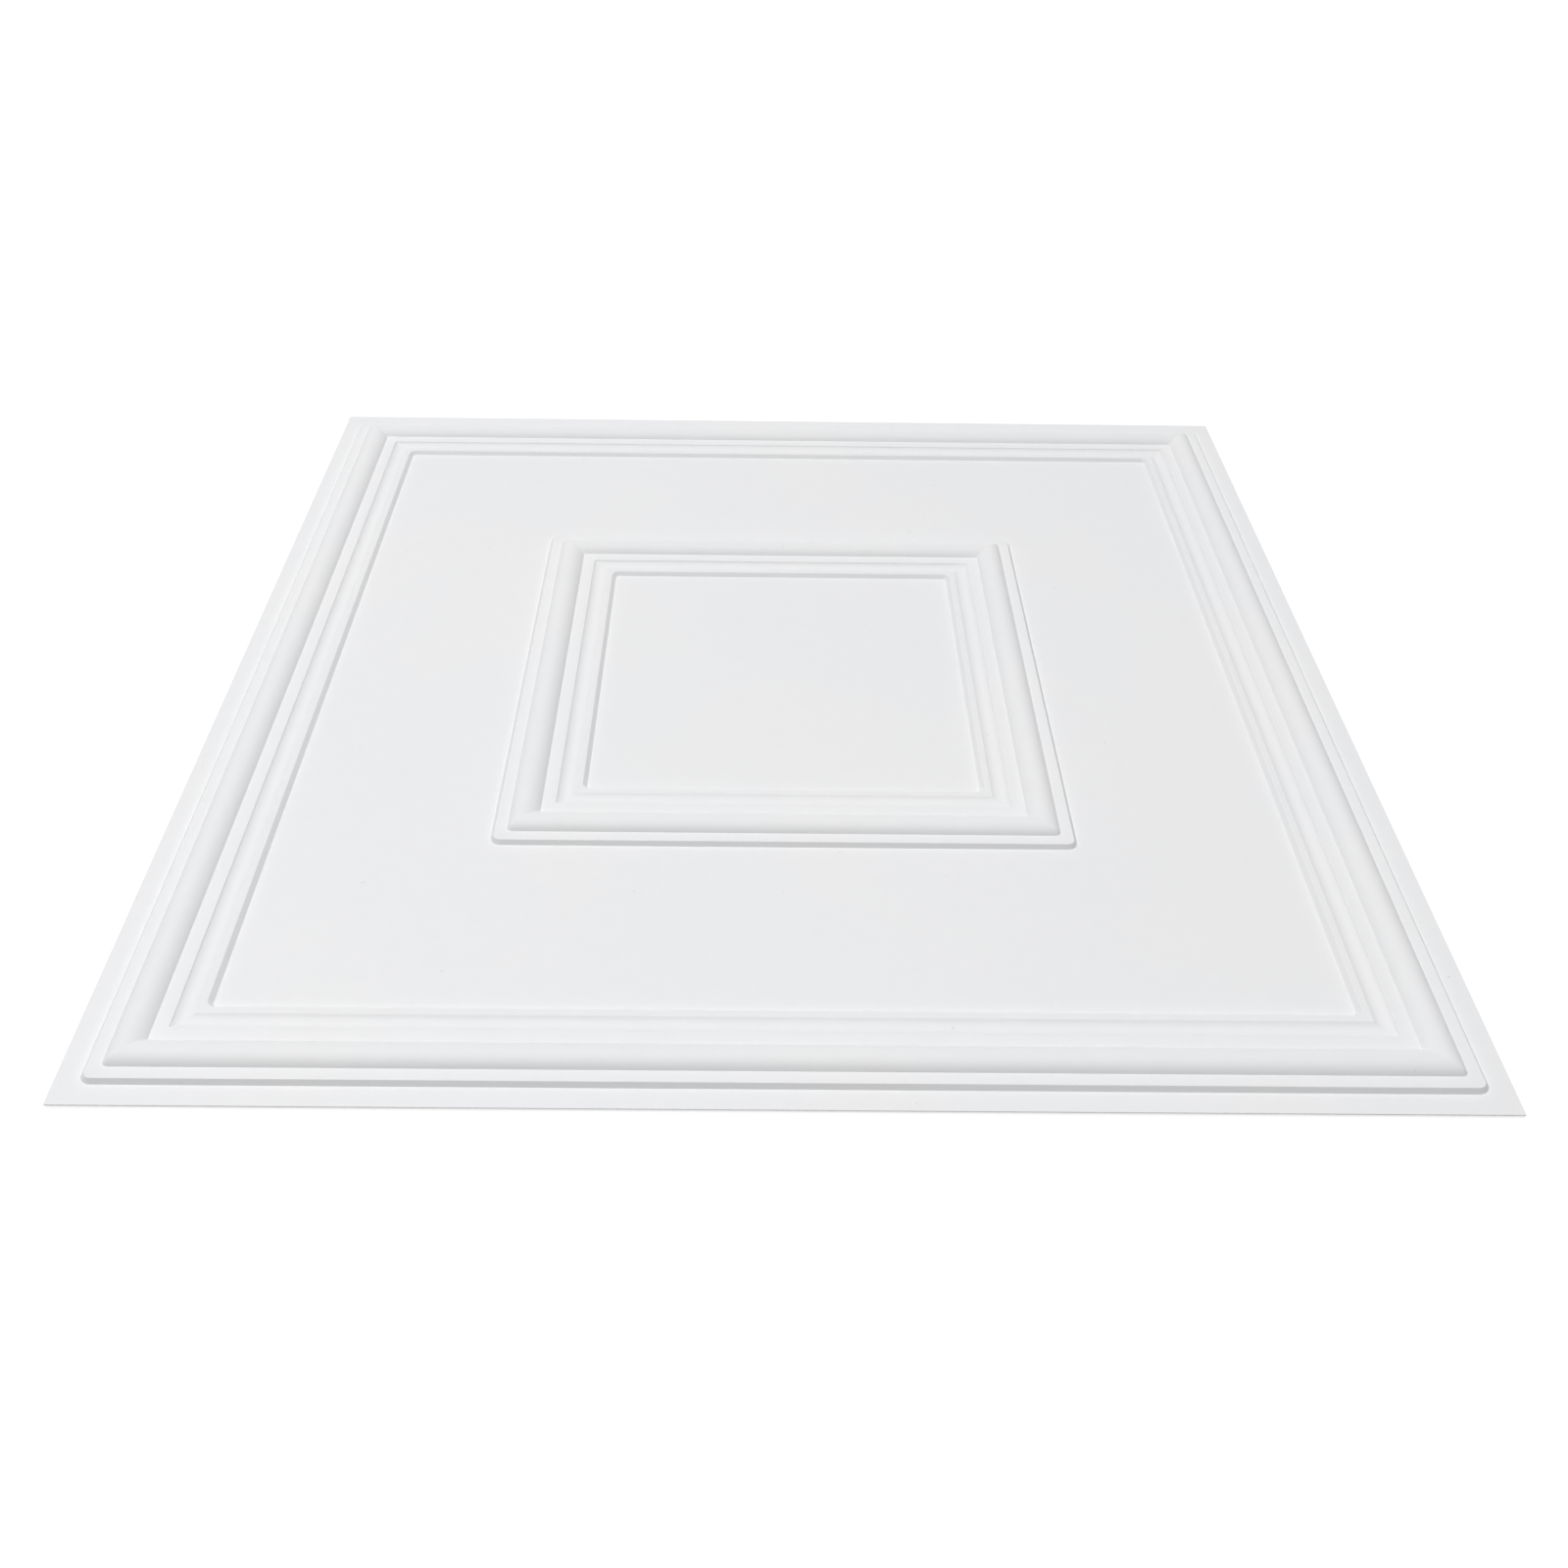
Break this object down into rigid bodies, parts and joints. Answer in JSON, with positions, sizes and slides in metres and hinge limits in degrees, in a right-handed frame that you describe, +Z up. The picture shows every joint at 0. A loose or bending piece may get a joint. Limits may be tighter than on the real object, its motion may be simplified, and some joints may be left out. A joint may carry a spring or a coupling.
{
  "type": "drop ceiling tile",
  "caption": "Square lay-in ceiling tile formed from thin white PVC sheet, with a flat border that rests on the ceiling grid and a moulded frame within a frame around a plain panel.",
  "frame": {"origin": "centre of the centre panel's back, which is the lowest face of the tile", "axes": "+Z up out of the moulded face, +X and +Y along the tile's sides"},
  "size_m": [0.603, 0.603, 0.0076],
  "materials": {
    "white_pvc": "matt white rigid PVC sheet"
  },
  "bodies": {
    "root": {"ceiling_tile": "white_pvc"}
  },
  "joints": []
}
